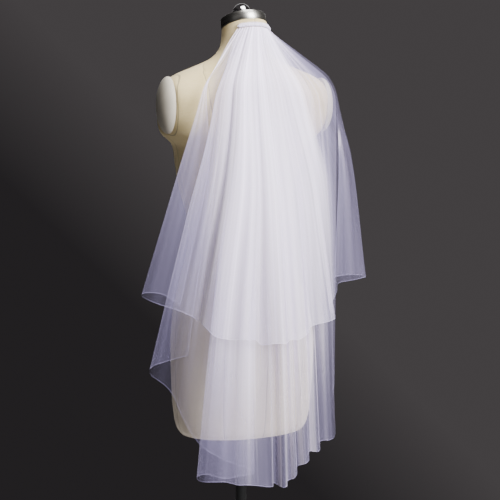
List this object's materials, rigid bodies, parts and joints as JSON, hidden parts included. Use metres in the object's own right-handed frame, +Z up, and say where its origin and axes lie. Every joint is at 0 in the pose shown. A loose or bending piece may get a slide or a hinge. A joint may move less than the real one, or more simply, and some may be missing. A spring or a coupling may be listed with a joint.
{
  "type": "bridal veil on a dress form with a stand",
  "caption": "Sheer two-tier bridal veil gathered on a curved comb at the back of the neck, draped over a limbless dress form on a pole stand.",
  "frame": {"origin": "centre of the underside of the stand's round foot, on the floor and on the pole's axis", "axes": "+Z up along the pole, -Y towards the form's front, +X towards the form's own left; the veil falls down the +Y side"},
  "size_m": [0.5757, 0.3888, 1.4801],
  "materials": {
    "tulle": "sheer soft net with cut edges",
    "linen": "beige plain-weave linen over padding",
    "plate_cloth": "smooth light grey cloth",
    "brushed_steel": "turned and brushed",
    "chrome": "polished",
    "black_steel": "black powder coat"
  },
  "bodies": {
    "root": {"veil_upper_tier": "tulle", "veil_lower_tier": "tulle", "gathered_heading": "tulle", "comb": "chrome", "form_torso": "linen", "arm_plate_left": "plate_cloth", "arm_plate_right": "plate_cloth", "neck_cap": "brushed_steel", "neck_knob": "chrome", "pole_flange": "black_steel", "pole": "black_steel", "stand_foot": "black_steel"}
  },
  "joints": []
}
